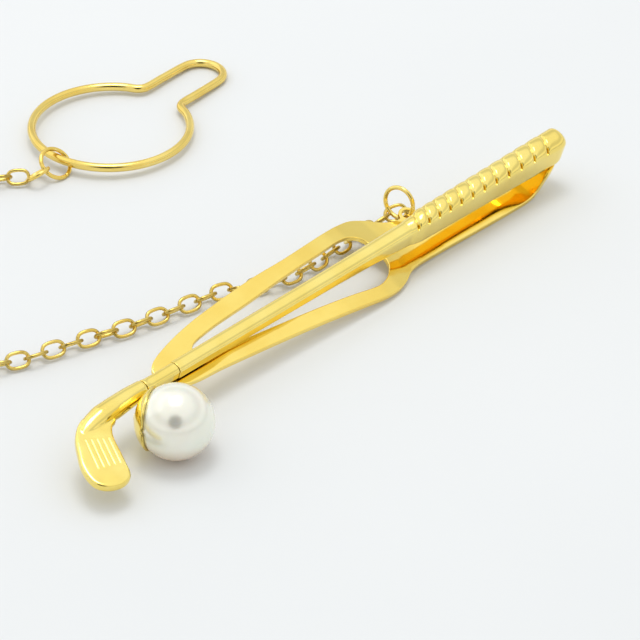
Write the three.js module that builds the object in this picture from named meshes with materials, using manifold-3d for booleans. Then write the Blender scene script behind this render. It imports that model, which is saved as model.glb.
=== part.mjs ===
// Tie clip in the form of a golf iron, with a pearl as the ball, a spring strip
// beneath it, and a safety chain that ends in a button loop. Millimetres, +Z up.
// The clip lies on a table, leaning on its near edge. X runs from the club head
// to the butt of the grip.
import * as THREE from 'three';
import { mergeVertices } from 'three/addons/utils/BufferGeometryUtils.js';
import Module from 'manifold-3d';

const wasm = await Module();
wasm.setup();

// Where the lying clip stands. The clip's own frame has its origin on the club's
// axis, and it is turned about that axis.
const LEAN = THREE.MathUtils.degToRad(16);
const AXIS_HEIGHT = 4.336;
const SHIFT_X = 1.385;
const SHIFT_Y = 0.5535;

// Fits
const SOLDER_GAP = 0.03;
const FREE_GAP = 0.05;

// Club
const SHAFT_BACK = -0.6;
const SHAFT_END_BACK = -0.95;
const GRIP_BACK = -1.15;
const SHAFT_HEAD_X = -20.5;
const HOSEL_X = -24.4;
const GRIP_X = 10.0;
const BUTT_X = 32.6;
const BUTT_ROUND = 1.2;
const FERRULE_HALF = 0.64;
const GROOVES = 12;
const FIRST_GROOVE_X = 11.15;
const FIRST_PITCH = 1.38;
const PITCH_GROWTH = 0.029;
const GROOVE_DEPTH = 0.2;
const GROOVE_SLANT = 0.44;

// Club head
const BLADE_TOP = 0.3;
const BLADE_THICK = 0.88;
const BLADE_ROUND = 0.24;
const SCORE_LINES = 5;
const SCORE_WIDTH = 0.13;
const SCORE_DEPTH = 0.09;

// Pearl and its setting
const PEARL_RADIUS = 3.5;
const PEARL_CENTRE = new THREE.Vector3(-24.9, -4.85, 0.51);
const SETTING_AXIS = new THREE.Vector3(-0.51, 0.81, -0.28).normalize();
const PEG_RADIUS = 0.4;
const PEG_START = 0.8;
const PEG_END = 3.85;
const CUP_THICK = 0.22;
const CUP_ANGLE = 50;
const CUP_NOTCH = 0.35;

// Spring strip
const STRIP_THICK = 0.5;
const STRIP_OFFSET = 0.8;
const LUG_HOLE = new THREE.Vector2(15.1, 2.75);
const LUG_HOLE_RADIUS = 0.6;
const LUG_RADIUS = 1.0;

// Rings, chain and button loop, placed on the table
const CHAIN_RADIUS = 0.9;
const CHAIN_STEPS = 42;
const CLIP_RING = { radius: 1.6, wire: 0.225 };
const INNER_RING = { radius: 1.65, wire: 0.22 };
const OUTER_RING = { radius: 1.2, wire: 0.225 };
const LOOP_WIRE = 0.45;
const LOOP_RADIUS = 8.26;
const SLOT_HALF = 2.6;
const SLOT_END_HALF = 2.45;
const SLOT_LENGTH = 14.4;
const LOOP_TURN = THREE.MathUtils.degToRad(6);
const LOOP_TILT = THREE.MathUtils.degToRad(1.8);

// ---------------------------------------------------------------- solids

function toSolid(geometry) {
  const bare = geometry.clone();
  bare.deleteAttribute('normal');
  bare.deleteAttribute('uv');
  const merged = mergeVertices(bare, 1e-4);
  const vertProperties = new Float32Array(merged.attributes.position.array);
  const triVerts = new Uint32Array(merged.index.array);
  return new wasm.Manifold(new wasm.Mesh({ numProp: 3, vertProperties, triVerts }));
}

function toGeometry(solid) {
  const mesh = solid.getMesh();
  const geometry = new THREE.BufferGeometry();
  geometry.setAttribute('position', new THREE.BufferAttribute(mesh.vertProperties, 3));
  geometry.setIndex(new THREE.BufferAttribute(mesh.triVerts, 1));
  return geometry;
}

function cut(geometry, tools) {
  const solid = tools.reduce((whole, tool) => whole.subtract(toSolid(tool)), toSolid(geometry));
  return toGeometry(solid);
}

function join(first, second) {
  return toGeometry(toSolid(first).add(toSolid(second)));
}

function common(first, second) {
  return toGeometry(toSolid(first).intersect(toSolid(second)));
}

// A closed skin through rings of points that all run anticlockwise about +X.
function loft(rings) {
  const count = rings[0].length;
  const last = (rings.length - 1) * count;
  const index = [];
  for (let r = 0; r < rings.length - 1; r += 1) {
    for (let k = 0; k < count; k += 1) {
      const here = r * count + k;
      const next = r * count + ((k + 1) % count);
      index.push(here, next, here + count);
      index.push(next, next + count, here + count);
    }
  }
  for (let k = 1; k < count - 1; k += 1) {
    index.push(0, k + 1, k);
    index.push(last, last + k, last + k + 1);
  }
  const geometry = new THREE.BufferGeometry().setFromPoints(rings.flat());
  geometry.setIndex(index);
  return geometry;
}

// Linear interpolation in a list of [x, value, value, ...] stations.
function between(stations, x) {
  const after = stations.findIndex((station) => station[0] >= x);
  if (after <= 0) return stations[after === 0 ? 0 : stations.length - 1].slice(1);
  const low = stations[after - 1];
  const high = stations[after];
  const part = (x - low[0]) / (high[0] - low[0]);
  return low.slice(1).map((value, k) => THREE.MathUtils.lerp(value, high[k + 1], part));
}

function smoothLine(points, count) {
  const curve = new THREE.SplineCurve(points.map(([x, y]) => new THREE.Vector2(x, y)));
  return curve.getPoints(count);
}

// ---------------------------------------------------------------- club

// One tombstone section: flat back, upright sides and a domed top.
function tombstone(x, half, wall, dome, options = {}) {
  const { back = SHAFT_BACK, sink = 0, slant = 0, shrink = 1 } = options;
  const corner = 0.12;
  const middle = back + 0.42 * (wall + dome);
  const side = back + wall;
  const flat = [[-half, back + corner], [-half + corner, back], [half - corner, back],
    [half, back + corner]];
  const arch = [0, 14, 32, 52, 71, 90, 109, 128, 148, 166, 180].map((degrees) => {
    const angle = THREE.MathUtils.degToRad(degrees);
    const drop = degrees > 0 && degrees < 180 ? sink : 0;
    return [(half - drop) * Math.cos(angle), side + (dome - drop) * Math.sin(angle)];
  });
  return [...flat, ...arch].map(([y, z]) => (
    new THREE.Vector3(x + slant * y, y * shrink, middle + (z - middle) * shrink)
  ));
}

function makeShaft() {
  const end = GRIP_X - SOLDER_GAP;
  const stations = [
    [SHAFT_HEAD_X, 0.62, 0.8, 0.4, SHAFT_BACK],
    [SHAFT_HEAD_X + 0.15, 0.72, 0.88, 0.45, SHAFT_BACK],
    [-10, 0.74, 0.94, 0.48, SHAFT_BACK],
    [0, 0.78, 1.06, 0.52, SHAFT_BACK - 0.04],
    [5, 0.82, 1.24, 0.56, SHAFT_BACK - 0.16],
    [end, 0.88, 1.56, 0.62, SHAFT_END_BACK],
  ];
  return loft(stations.map(([x, half, wall, dome, back]) => (
    tombstone(x, half, wall, dome, { back })
  )));
}

function grooveX(number) {
  return FIRST_GROOVE_X + FIRST_PITCH * number + PITCH_GROWTH * number * number;
}

// Grip size at x, as half width, side height and dome height.
const GRIP_STATIONS = [
  [GRIP_X, 0.9, 1.8, 0.66],
  [GRIP_X + 0.35, 0.98, 1.9, 0.72],
  [GRIP_X + 2, 1.08, 2.03, 0.82],
  [BUTT_X - BUTT_ROUND, 1.32, 2.22, 1.0],
  [BUTT_X, 1.32, 2.22, 1.0],
];

function makeGrip() {
  const flanks = [[-0.3, 0], [-0.09, GROOVE_DEPTH], [0.09, GROOVE_DEPTH], [0.3, 0]];
  const places = [[GRIP_X, 0, 0], [GRIP_X + 0.35, 0, 0.3]];
  for (let number = 0; number < GROOVES; number += 1) {
    const centre = grooveX(number);
    flanks.forEach(([offset, sink]) => places.push([centre + offset, sink, 1]));
    const middle = (centre + grooveX(number + 1)) / 2;
    if (number < GROOVES - 1) places.push([middle, -0.05, 1]);
  }
  const cap = [0.02, 0.35, 0.6, 0.8, 0.93, 1];
  cap.forEach((part) => places.push([BUTT_X - BUTT_ROUND * (1 - part), 0, (1 - part) * 0.9]));
  return loft(places.map(([x, sink, lean]) => {
    const [half, wall, dome] = between(GRIP_STATIONS, x);
    const round = Math.max(0, (x - BUTT_X + BUTT_ROUND) / BUTT_ROUND);
    const shrink = Math.sqrt(1 - 0.55 * round ** 3);
    const slant = lean * GROOVE_SLANT;
    return tombstone(x, half, wall, dome, { back: GRIP_BACK, sink, slant, shrink });
  }));
}

function makeFerrule() {
  const start = HOSEL_X + SOLDER_GAP;
  const end = SHAFT_HEAD_X - SOLDER_GAP;
  const stations = [
    [start, 1.06, 0.5],
    [start + 0.5, 1.0, 0.46],
    [end - 0.5, 0.98, 0.44],
    [end, 1.0, 0.46],
  ];
  return loft(stations.map(([x, swell, dome]) => {
    const half = FERRULE_HALF * swell;
    return tombstone(x, half, 0.85 * swell, dome * swell);
  }));
}

// Hosel sections: x, centre y, half width, half height.
const HOSEL_STATIONS = [
  [HOSEL_X, 0, 0.72, 0.74],
  [HOSEL_X - 0.18, 0, 0.86, 0.86],
  [-26.2, -0.05, 0.98, 0.94],
  [-28.2, -0.18, 1.08, 0.98],
  [-29.8, -0.26, 1.08, 0.92],
  [-31.0, -0.42, 0.92, 0.74],
  [-31.9, -0.62, 0.72, 0.52],
  [-32.6, -0.9, 0.4, 0.28],
];

function makeHosel() {
  const rings = HOSEL_STATIONS.map(([x, y, half, tall]) => {
    const ring = [];
    for (let k = 0; k < 16; k += 1) {
      const angle = (k / 16) * 2 * Math.PI;
      const point = new THREE.Vector3(x, y + half * Math.cos(angle), tall * Math.sin(angle));
      ring.push(point);
    }
    return ring;
  });
  return loft(rings.reverse());
}

// Plan outline of the blade, from the hosel round the heel and toe and back.
const BLADE_OUTLINE = [
  [-29.4, 0.62], [-30.6, 0.52], [-31.7, 0.3], [-32.5, -0.15], [-33.4, -0.98], [-34.3, -2.33],
  [-34.95, -3.5], [-35.33, -4.8], [-35.3, -5.85], [-34.8, -6.6], [-33.95, -7.1],
  [-33.0, -7.25], [-32.2, -7.0], [-31.8, -6.5], [-31.5, -5.7], [-31.02, -4.36],
  [-30.55, -3.05], [-30.1, -2.22], [-29.6, -1.7], [-28.9, -1.35],
];

function makeBlade() {
  const shape = new THREE.Shape(smoothLine(BLADE_OUTLINE, 56));
  const flat = BLADE_THICK - 2 * BLADE_ROUND;
  const blade = new THREE.ExtrudeGeometry(shape, {
    depth: flat,
    bevelThickness: BLADE_ROUND,
    bevelSize: BLADE_ROUND,
    bevelOffset: -BLADE_ROUND,
    bevelSegments: 3,
    steps: 1,
  });
  return blade.translate(0, 0, BLADE_TOP - BLADE_THICK + BLADE_ROUND);
}

// A shallow bar that cuts one line into the face between two points.
function scoreBar(start, end) {
  const length = start.distanceTo(end);
  const bar = new THREE.BoxGeometry(length, SCORE_WIDTH, 2 * SCORE_DEPTH);
  bar.rotateZ(Math.atan2(end.y - start.y, end.x - start.x));
  return bar.translate((start.x + end.x) / 2, (start.y + end.y) / 2, BLADE_TOP);
}

function makeHead() {
  const heelFar = new THREE.Vector2(-33.05, -1.35);
  const heelNear = new THREE.Vector2(-30.75, -2.6);
  const toeFar = new THREE.Vector2(-34.4, -4.8);
  const toeNear = new THREE.Vector2(-31.85, -5.6);
  const bars = [scoreBar(heelFar, heelNear), scoreBar(toeFar, toeNear)];
  for (let line = 0; line < SCORE_LINES; line += 1) {
    const part = 0.1 + (0.8 * line) / (SCORE_LINES - 1);
    const start = heelFar.clone().lerp(heelNear, part).lerp(toeFar, 0.06);
    const end = toeFar.clone().lerp(toeNear, part).lerp(heelFar, 0.06);
    bars.push(scoreBar(start, end));
  }
  return cut(join(makeBlade(), makeHosel()), bars);
}

// ---------------------------------------------------------------- pearl

// Turns +Y to the setting's axis and moves the origin to the pearl's centre.
function ontoSetting(geometry) {
  const up = new THREE.Vector3(0, 1, 0);
  geometry.applyQuaternion(new THREE.Quaternion().setFromUnitVectors(up, SETTING_AXIS));
  return geometry.translate(PEARL_CENTRE.x, PEARL_CENTRE.y, PEARL_CENTRE.z);
}

function makePearl() {
  const ball = new THREE.SphereGeometry(PEARL_RADIUS, 36, 22);
  const drill = new THREE.CylinderGeometry(PEG_RADIUS + FREE_GAP, PEG_RADIUS + FREE_GAP, PEARL_RADIUS, 16);
  drill.translate(0, PEG_START - FREE_GAP + PEARL_RADIUS / 2, 0);
  return ontoSetting(cut(ball, [drill]));
}

function makeCup() {
  const inner = PEARL_RADIUS + FREE_GAP;
  const outer = inner + CUP_THICK;
  const hole = Math.asin((PEG_RADIUS + FREE_GAP) / inner);
  const rim = THREE.MathUtils.degToRad(CUP_ANGLE);
  const at = (radius, angle) => new THREE.Vector2(radius * Math.sin(angle), radius * Math.cos(angle));
  const profile = [];
  for (let k = 0; k <= 8; k += 1) profile.push(at(inner, THREE.MathUtils.lerp(rim, hole, k / 8)));
  for (let k = 0; k <= 8; k += 1) profile.push(at(outer, THREE.MathUtils.lerp(hole, rim, k / 8)));
  profile.push(profile[0].clone());
  const shell = new THREE.LatheGeometry(profile.reverse(), 36);
  const notch = new THREE.BoxGeometry(3, 1.2, CUP_NOTCH);
  notch.rotateZ(THREE.MathUtils.degToRad(-45));
  notch.translate(-outer * Math.sin(rim), outer * Math.cos(rim), 0);
  return ontoSetting(cut(shell, [notch.rotateY(THREE.MathUtils.degToRad(20))]));
}

function makePeg() {
  const peg = new THREE.CylinderGeometry(PEG_RADIUS, PEG_RADIUS, PEG_END - PEG_START, 16);
  return ontoSetting(peg.translate(0, (PEG_START + PEG_END) / 2, 0));
}

// ---------------------------------------------------------------- spring strip

// Centre line of the strip seen from the side, from the lip to the cut at the bend.
const STRIP_LINE = [
  [-21.8, -1.4], [-21.1, -1.2], [-20.4, -1.1], [-17.0, -1.1], [-15.5, -1.17], [-10, -1.55],
  [-5, -1.94], [0, -2.38], [4, -2.8], [7.5, -3.18], [10, -3.42], [12.5, -3.6], [14, -3.65],
  [27.1, -3.65], [28.1, -3.46], [28.8, -3.02], [29.4, -2.4], [29.8, -1.95],
];

const FOOT_LINE = [
  [29.92, -1.83], [30.3, -1.56], [30.7, -1.45], [31.1, -1.43], [32.2, -1.43],
];

// Near and far edges of the strip from the lip to the bend, measured from its centre line.
const STRIP_NEAR = [
  [-21.75, 0.8], [-21.2, 1.45], [-20.3, 2.1], [-18.8, 2.45], [-16, 2.6], [-10, 3.0], [-4, 3.45],
  [2, 4.0], [5, 4.25], [6.8, 4.15], [8.4, 3.65], [9.8, 2.95], [11.4, 2.65], [14, 2.6], [20, 2.75],
  [25, 2.85], [28, 2.8], [30.5, 2.45],
];

const STRIP_FAR = [
  [-21.75, 0.8], [-21.2, 1.35], [-20.2, 1.85], [-18.4, 2.4], [-16, 2.95], [-10, 3.8], [-5.1, 4.3],
  [-1.2, 4.5], [1.6, 4.75], [4.4, 5.02], [7.2, 5.2], [9.0, 5.1], [10.4, 4.5], [11.5, 3.65],
  [12.6, 3.05], [14, 2.75], [20, 2.6], [25, 2.4], [27, 2.1], [28, 1.9], [30.5, 1.5],
];

const OPENING_NEAR = [
  [-16.95, 0.4], [-16.4, 0.8], [-11.5, 1.2], [-7.2, 1.6], [-2.7, 2.0], [1.9, 2.5], [4.0, 2.8],
  [5.4, 2.85], [6.8, 2.35], [7.9, 1.4], [8.3, 0.5],
];

const OPENING_FAR = [
  [-16.95, 0.5], [-16.4, 1.0], [-13.5, 1.55], [-8.35, 2.05], [-2.85, 2.7], [2.6, 3.2], [5.6, 3.5],
  [6.9, 3.4], [7.9, 2.8], [8.3, 1.8], [8.4, 0.6],
];

const FOOT_NEAR = [[29.5, 2.55], [30.4, 2.4], [31.4, 2.0], [32.1, 1.3]];
const FOOT_FAR = [[29.5, 1.65], [30.4, 1.5], [31.4, 1.3], [32.1, 0.9]];

// A plan outline made from a near edge and a far edge.
function outlineOf(near, far, count) {
  const front = smoothLine(near.map(([x, half]) => [x, -half]), count);
  const behind = smoothLine(far.map(([x, half]) => [x, half]), count);
  return [...front, ...behind.reverse()];
}

// A band of even thickness that follows a line in the XZ plane.
function band(line, thickness, width) {
  const points = line.map(([x, z]) => new THREE.Vector2(x, z));
  const steps = points.slice(1).map((point, k) => point.clone().sub(points[k]).normalize());
  const sides = points.map((point, k) => {
    const before = steps[Math.max(0, k - 1)];
    const after = steps[Math.min(steps.length - 1, k)];
    const along = before.clone().add(after).normalize();
    const reach = thickness / 2 / along.dot(after);
    return new THREE.Vector2(-along.y, along.x).multiplyScalar(reach);
  });
  const upper = points.map((point, k) => point.clone().add(sides[k]));
  const lower = points.map((point, k) => point.clone().sub(sides[k]));
  const shape = new THREE.Shape([...lower, ...upper.reverse()]);
  const solid = new THREE.ExtrudeGeometry(shape, { depth: width, bevelEnabled: false, steps: 1 });
  return solid.rotateX(Math.PI / 2).translate(0, width / 2, 0);
}

function plate(outline, holes = []) {
  const shape = new THREE.Shape(outline);
  shape.holes = holes.map((hole) => new THREE.Path(hole));
  const solid = new THREE.ExtrudeGeometry(shape, { depth: 8, bevelEnabled: false, steps: 1 });
  return solid.translate(0, 0, -6);
}

function roundPost(centre, radius) {
  const post = new THREE.CylinderGeometry(radius, radius, 8, 24);
  return post.rotateX(Math.PI / 2).translate(centre.x, centre.y, -2);
}

// Puts a piece drawn on the strip's own centre line beside the club's axis.
function besideClub(geometry) {
  return geometry.translate(0, STRIP_OFFSET, 0);
}

function makeStrip() {
  const opening = outlineOf(OPENING_NEAR, OPENING_FAR, 26);
  const outline = plate(outlineOf(STRIP_NEAR, STRIP_FAR, 40), [opening]);
  const lug = roundPost(LUG_HOLE, LUG_RADIUS);
  const eyelet = cut(join(outline, lug), [roundPost(LUG_HOLE, LUG_HOLE_RADIUS)]);
  return besideClub(common(eyelet, band(STRIP_LINE, STRIP_THICK, 14)));
}

function makeFoot() {
  const outline = plate(outlineOf(FOOT_NEAR, FOOT_FAR, 12));
  return besideClub(common(outline, band(FOOT_LINE, STRIP_THICK, 6)));
}

// ---------------------------------------------------------------- rings and loop

function makeRing({ radius, wire }) {
  return new THREE.TorusGeometry(radius, wire, 10, 36);
}

// Centre line of the button loop: most of a circle, then a narrow slot.
function loopLine() {
  const points = [];
  const mouth = Math.asin(SLOT_HALF / LOOP_RADIUS);
  const turn = 2 * Math.PI - 2 * (mouth + 0.06);
  for (let k = 0; k <= 36; k += 1) {
    const angle = mouth + 0.06 + (turn * k) / 36;
    const point = new THREE.Vector3(Math.cos(angle), Math.sin(angle), 0);
    points.push(point.multiplyScalar(LOOP_RADIUS));
  }
  const mouthX = LOOP_RADIUS * Math.cos(mouth);
  points.push(new THREE.Vector3(mouthX + 0.45, -SLOT_HALF - 0.02, 0));
  points.push(new THREE.Vector3((mouthX + SLOT_LENGTH) / 2, -(SLOT_HALF + SLOT_END_HALF) / 2, 0));
  for (let k = 0; k <= 10; k += 1) {
    const angle = -Math.PI / 2 + (Math.PI * k) / 10;
    const x = SLOT_LENGTH + SLOT_END_HALF * Math.cos(angle);
    points.push(new THREE.Vector3(x, SLOT_END_HALF * Math.sin(angle), 0));
  }
  points.push(new THREE.Vector3((mouthX + SLOT_LENGTH) / 2, (SLOT_HALF + SLOT_END_HALF) / 2, 0));
  points.push(new THREE.Vector3(mouthX + 0.45, SLOT_HALF + 0.02, 0));
  return new THREE.CatmullRomCurve3(points, true, 'centripetal');
}

function makeLoop() {
  return new THREE.TubeGeometry(loopLine(), 110, LOOP_WIRE, 8, true);
}

// Route of the chain's centre line: down from the clip's ring, under the raised
// side of the strip, across the table, round a wide bend and back to the rings.
const CHAIN_ROUTE = [
  [13.8, 6.35, 1.35], [12.6, 6.5, 1.02], [10.4, 6.55, 0.92], [7.7, 6.45, 0.92], [4.6, 6.2, 0.92],
  [2.0, 6.2, 0.92], [0.0, 6.5, 0.92], [-2.7, 7.5, 0.92], [-5.6, 9.15, 0.92], [-9.2, 9.95, 0.92],
  [-12.8, 10.65, 0.92], [-16.5, 11.55, 0.92], [-19.6, 12.65, 0.92], [-23.2, 13.75, 0.92],
  [-26.7, 14.85, 0.92], [-30.1, 17.1, 0.92], [-32.8, 21.3, 0.92], [-33.4, 26.4, 0.92],
  [-31.6, 31.1, 0.92], [-28.0, 35.2, 0.92], [-23.4, 38.5, 0.92], [-18.0, 40.6, 0.92],
  [-12.6, 41.1, 0.92], [-9.6, 40.5, 0.92], [-7.8, 39.7, 0.92], [-6.7, 38.8, 0.93],
];

function makeChain() {
  const path = new THREE.CatmullRomCurve3(CHAIN_ROUTE.map((point) => new THREE.Vector3(...point)));
  const section = [];
  for (let k = 0; k < 8; k += 1) {
    const angle = ((k + 0.5) / 8) * 2 * Math.PI;
    section.push(new THREE.Vector2(Math.cos(angle), Math.sin(angle)).multiplyScalar(CHAIN_RADIUS));
  }
  const options = { steps: CHAIN_STEPS, bevelEnabled: false, extrudePath: path };
  return new THREE.ExtrudeGeometry(new THREE.Shape(section), options);
}

// ---------------------------------------------------------------- assembly

function gold(color, roughness) {
  return new THREE.MeshStandardMaterial({ color, roughness, metalness: 1 });
}

const clubGold = gold('#eacb52', 0.16);
const stripGold = gold('#eec768', 0.1);
const wireGold = gold('#dcb94c', 0.2);
const nacre = new THREE.MeshStandardMaterial({ color: '#ece8dc', roughness: 0.22, metalness: 0 });

function piece(name, geometry, material) {
  const mesh = new THREE.Mesh(geometry, material);
  mesh.name = name;
  return mesh;
}

// Turns a flat ring to face along `normal` with its centre at `centre`.
function standRing(mesh, centre, normal) {
  const facing = normal.clone().normalize();
  mesh.quaternion.setFromUnitVectors(new THREE.Vector3(0, 0, 1), facing);
  mesh.position.copy(centre);
  return mesh;
}

const clip = new THREE.Group();
clip.rotation.x = LEAN;
clip.position.z = AXIS_HEIGHT;
clip.add(piece('club_shaft', makeShaft(), clubGold));
clip.add(piece('club_grip', makeGrip(), clubGold));
clip.add(piece('hosel_ferrule', makeFerrule(), clubGold));
clip.add(piece('club_head', makeHead(), clubGold));
clip.add(piece('pearl', makePearl(), nacre));
clip.add(piece('pearl_cup', makeCup(), clubGold));
clip.add(piece('pearl_peg', makePeg(), clubGold));
clip.add(piece('spring_clip', makeStrip(), stripGold));
clip.add(piece('clip_foot', makeFoot(), stripGold));

const clipRing = piece('clip_jump_ring', makeRing(CLIP_RING), wireGold);
standRing(clipRing, new THREE.Vector3(14.95, 5.4, 3.08), new THREE.Vector3(0.97, 0.18, -0.15));

const loop = new THREE.Group();
loop.position.set(6.75, 38.9, LOOP_WIRE + (SLOT_LENGTH + SLOT_END_HALF) * Math.sin(LOOP_TILT) + 0.01);
loop.rotation.set(0, LOOP_TILT, LOOP_TURN);
loop.add(piece('button_loop', makeLoop(), wireGold));

const innerRing = piece('loop_ring_inner', makeRing(INNER_RING), wireGold);
standRing(innerRing, new THREE.Vector3(-2.32, 37.3, 1.3), new THREE.Vector3(0.1, -0.64, 0.77));
const outerRing = piece('loop_ring_outer', makeRing(OUTER_RING), wireGold);
standRing(outerRing, new THREE.Vector3(-4.67, 37.36, 1.02), new THREE.Vector3(-0.08, 0.6, 0.79));

const tieClip = new THREE.Group();
tieClip.position.set(SHIFT_X, SHIFT_Y, 0);
tieClip.add(clip, clipRing, loop, innerRing, outerRing);
tieClip.add(piece('safety_chain', makeChain(), wireGold));

export default tieClip;
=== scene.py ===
import math

import bpy
import numpy as np
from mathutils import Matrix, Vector
from mathutils import geometry as planar


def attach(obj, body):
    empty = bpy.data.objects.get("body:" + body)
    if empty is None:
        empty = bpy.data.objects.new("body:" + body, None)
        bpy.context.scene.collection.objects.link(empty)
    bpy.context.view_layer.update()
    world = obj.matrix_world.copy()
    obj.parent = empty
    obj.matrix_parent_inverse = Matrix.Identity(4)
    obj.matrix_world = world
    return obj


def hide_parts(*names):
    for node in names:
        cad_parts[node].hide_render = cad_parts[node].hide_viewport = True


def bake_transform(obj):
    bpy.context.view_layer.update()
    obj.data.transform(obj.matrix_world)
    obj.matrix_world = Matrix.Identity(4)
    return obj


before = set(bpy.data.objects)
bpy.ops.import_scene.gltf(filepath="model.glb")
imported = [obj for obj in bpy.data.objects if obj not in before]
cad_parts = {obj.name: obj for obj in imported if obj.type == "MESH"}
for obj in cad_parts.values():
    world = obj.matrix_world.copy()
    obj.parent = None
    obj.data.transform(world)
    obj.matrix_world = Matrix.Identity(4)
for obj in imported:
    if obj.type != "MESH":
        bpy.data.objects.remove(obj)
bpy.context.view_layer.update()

SCENE = bpy.context.scene
MM = 0.001

# ------------------------------------------------------------------ camera
CAMERA_AT = Vector((-0.15432, -0.15002, 0.15661))
LOOKS_ALONG = Vector((0.57834, 0.56571, -0.58779))
camera = bpy.data.objects.new("camera", bpy.data.cameras.new("camera"))
SCENE.collection.objects.link(camera)
camera.data.lens = 157.5
camera.data.sensor_width = 36.0
camera.data.clip_start = 0.01
camera.location = CAMERA_AT
camera.rotation_mode = "QUATERNION"
camera.rotation_quaternion = LOOKS_ALONG.to_track_quat("-Z", "Y")
SCENE.camera = camera

# ------------------------------------------------------------------ dimensions, in millimetres
# These follow the CAD source. The shapes drawn from them differ from it in places, by up to
# half a millimetre on the spring strip. The clip's own frame has its origin on the club's axis.
LEAN = math.radians(16)
AXIS_HEIGHT = 4.336
SHIFT = np.array([1.385, 0.5535, 0.0])
SHAFT_BACK, SHAFT_END_BACK, GRIP_BACK = -0.6, -0.95, -1.15
SHAFT_HEAD_X, HOSEL_X, GRIP_X, BUTT_X = -20.5, -24.4, 10.0, 32.6
BUTT_ROUND = 1.2
SOLDER_GAP = 0.03
GROOVES, FIRST_GROOVE_X, FIRST_PITCH, PITCH_GROWTH = 12, 11.15, 1.38, 0.029
GROOVE_SLANT = 0.44
BLADE_TOP, BLADE_THICK = 0.3, 0.88
PEARL_RADIUS = 3.5
PEARL_CENTRE = np.array([-24.9, -4.85, 0.51])
SETTING_AXIS = Vector((-0.51, 0.81, -0.28)).normalized()
PEG_RADIUS, PEG_START = 0.4, 0.8
FREE_GAP = 0.05
CUP_THICK, CUP_ANGLE = 0.22, math.radians(50)
STRIP_THICK, STRIP_OFFSET = 0.5, 0.8
LUG_HOLE, LUG_HOLE_RADIUS, LUG_RADIUS = (15.1, 2.75), 0.6, 1.0
LOOP_WIRE, LOOP_RADIUS = 0.45, 8.26
SLOT_HALF, SLOT_END_HALF, SLOT_LENGTH = 2.6, 2.45, 14.4
LOOP_TURN, LOOP_TILT = math.radians(6), math.radians(1.8)
LOOP_CENTRE_X, LOOP_CENTRE_Y, LOOP_LIFT = 6.75, 38.9, 0.01

CHAIN_ROUTE = [
    (13.8, 6.35, 1.35), (12.6, 6.5, 1.02), (10.4, 6.55, 0.92), (7.7, 6.45, 0.92), (4.6, 6.2, 0.92),
    (2.0, 6.2, 0.92), (0.0, 6.5, 0.92), (-2.7, 7.5, 0.92), (-5.6, 9.15, 0.92),
    (-9.2, 9.95, 0.92), (-12.8, 10.65, 0.92), (-16.5, 11.55, 0.92), (-19.6, 12.65, 0.92),
    (-23.2, 13.75, 0.92), (-26.7, 14.85, 0.92), (-30.1, 17.1, 0.92), (-32.8, 21.3, 0.92),
    (-33.4, 26.4, 0.92), (-31.6, 31.1, 0.92), (-28.0, 35.2, 0.92), (-23.4, 38.5, 0.92),
    (-18.0, 40.6, 0.92), (-12.6, 41.1, 0.92), (-9.6, 40.5, 0.92), (-7.8, 39.7, 0.92),
    (-6.7, 38.8, 0.93),
]
LINK_HALF_LENGTH, LINK_HALF_WIDTH, LINK_WIRE, LINK_PITCH = 1.09, 0.72, 0.18, 1.81


# ------------------------------------------------------------------ curves and meshes
def from_clip(points):
    """Points in the clip's own frame, in the row frame."""
    x, y, z = np.asarray(points, float).T
    c, s = math.cos(LEAN), math.sin(LEAN)
    turned = np.stack([x, y * c - z * s, y * s + z * c + AXIS_HEIGHT], axis=1)
    return turned + SHIFT


def centripetal(points, closed, steps):
    """A centripetal Catmull-Rom line through the points."""
    p = np.asarray(points, float)
    count = len(p)
    if closed:
        p = np.vstack([p[-1], p, p[0], p[1]])
        spans = count
    else:
        p = np.vstack([2 * p[0] - p[1], p, 2 * p[-1] - p[-2]])
        spans = count - 1
    line = []
    for k in range(spans):
        a, b, c, d = p[k:k + 4]
        t0 = 0.0
        t1 = t0 + math.sqrt(np.linalg.norm(b - a))
        t2 = t1 + math.sqrt(np.linalg.norm(c - b))
        t3 = t2 + math.sqrt(np.linalg.norm(d - c))
        for t in np.linspace(t1, t2, steps, endpoint=False):
            ab = (t1 - t) / (t1 - t0) * a + (t - t0) / (t1 - t0) * b
            bc = (t2 - t) / (t2 - t1) * b + (t - t1) / (t2 - t1) * c
            cd = (t3 - t) / (t3 - t2) * c + (t - t2) / (t3 - t2) * d
            abc = (t2 - t) / (t2 - t0) * ab + (t - t0) / (t2 - t0) * bc
            bcd = (t3 - t) / (t3 - t1) * bc + (t - t1) / (t3 - t1) * cd
            line.append((t2 - t) / (t2 - t1) * abc + (t - t1) / (t2 - t1) * bcd)
    if not closed:
        line.append(p[-2])
    return np.array(line)


def evenly(line, gap, closed=False):
    """The same line with points about `gap` apart."""
    p = np.vstack([line, line[:1]]) if closed else np.asarray(line)
    run = np.concatenate([[0], np.cumsum(np.linalg.norm(np.diff(p, axis=0), axis=1))])
    count = max(8, int(round(run[-1] / gap)))
    at = np.linspace(0, run[-1], count, endpoint=False) if closed \
        else np.linspace(0, run[-1], count + 1)
    return np.stack([np.interp(at, run, p[:, k]) for k in range(p.shape[1])], axis=1)


def stations_at(stations, x):
    table = np.array(sorted(stations))
    return [np.interp(x, table[:, 0], table[:, k]) for k in range(1, table.shape[1])]


def solid(name, points, faces, material, slot):
    """A smooth-shaded mesh piece from points in row-frame millimetres."""
    mesh = bpy.data.meshes.new(name)
    mesh.from_pydata([tuple(p) for p in np.asarray(points) * MM], [], faces)
    mesh.materials.append(material)
    mesh.polygons.foreach_set("use_smooth", [True] * len(mesh.polygons))
    mesh.update()
    piece = bpy.data.objects.new(name, mesh)
    SCENE.collection.objects.link(piece)
    return piece


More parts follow.
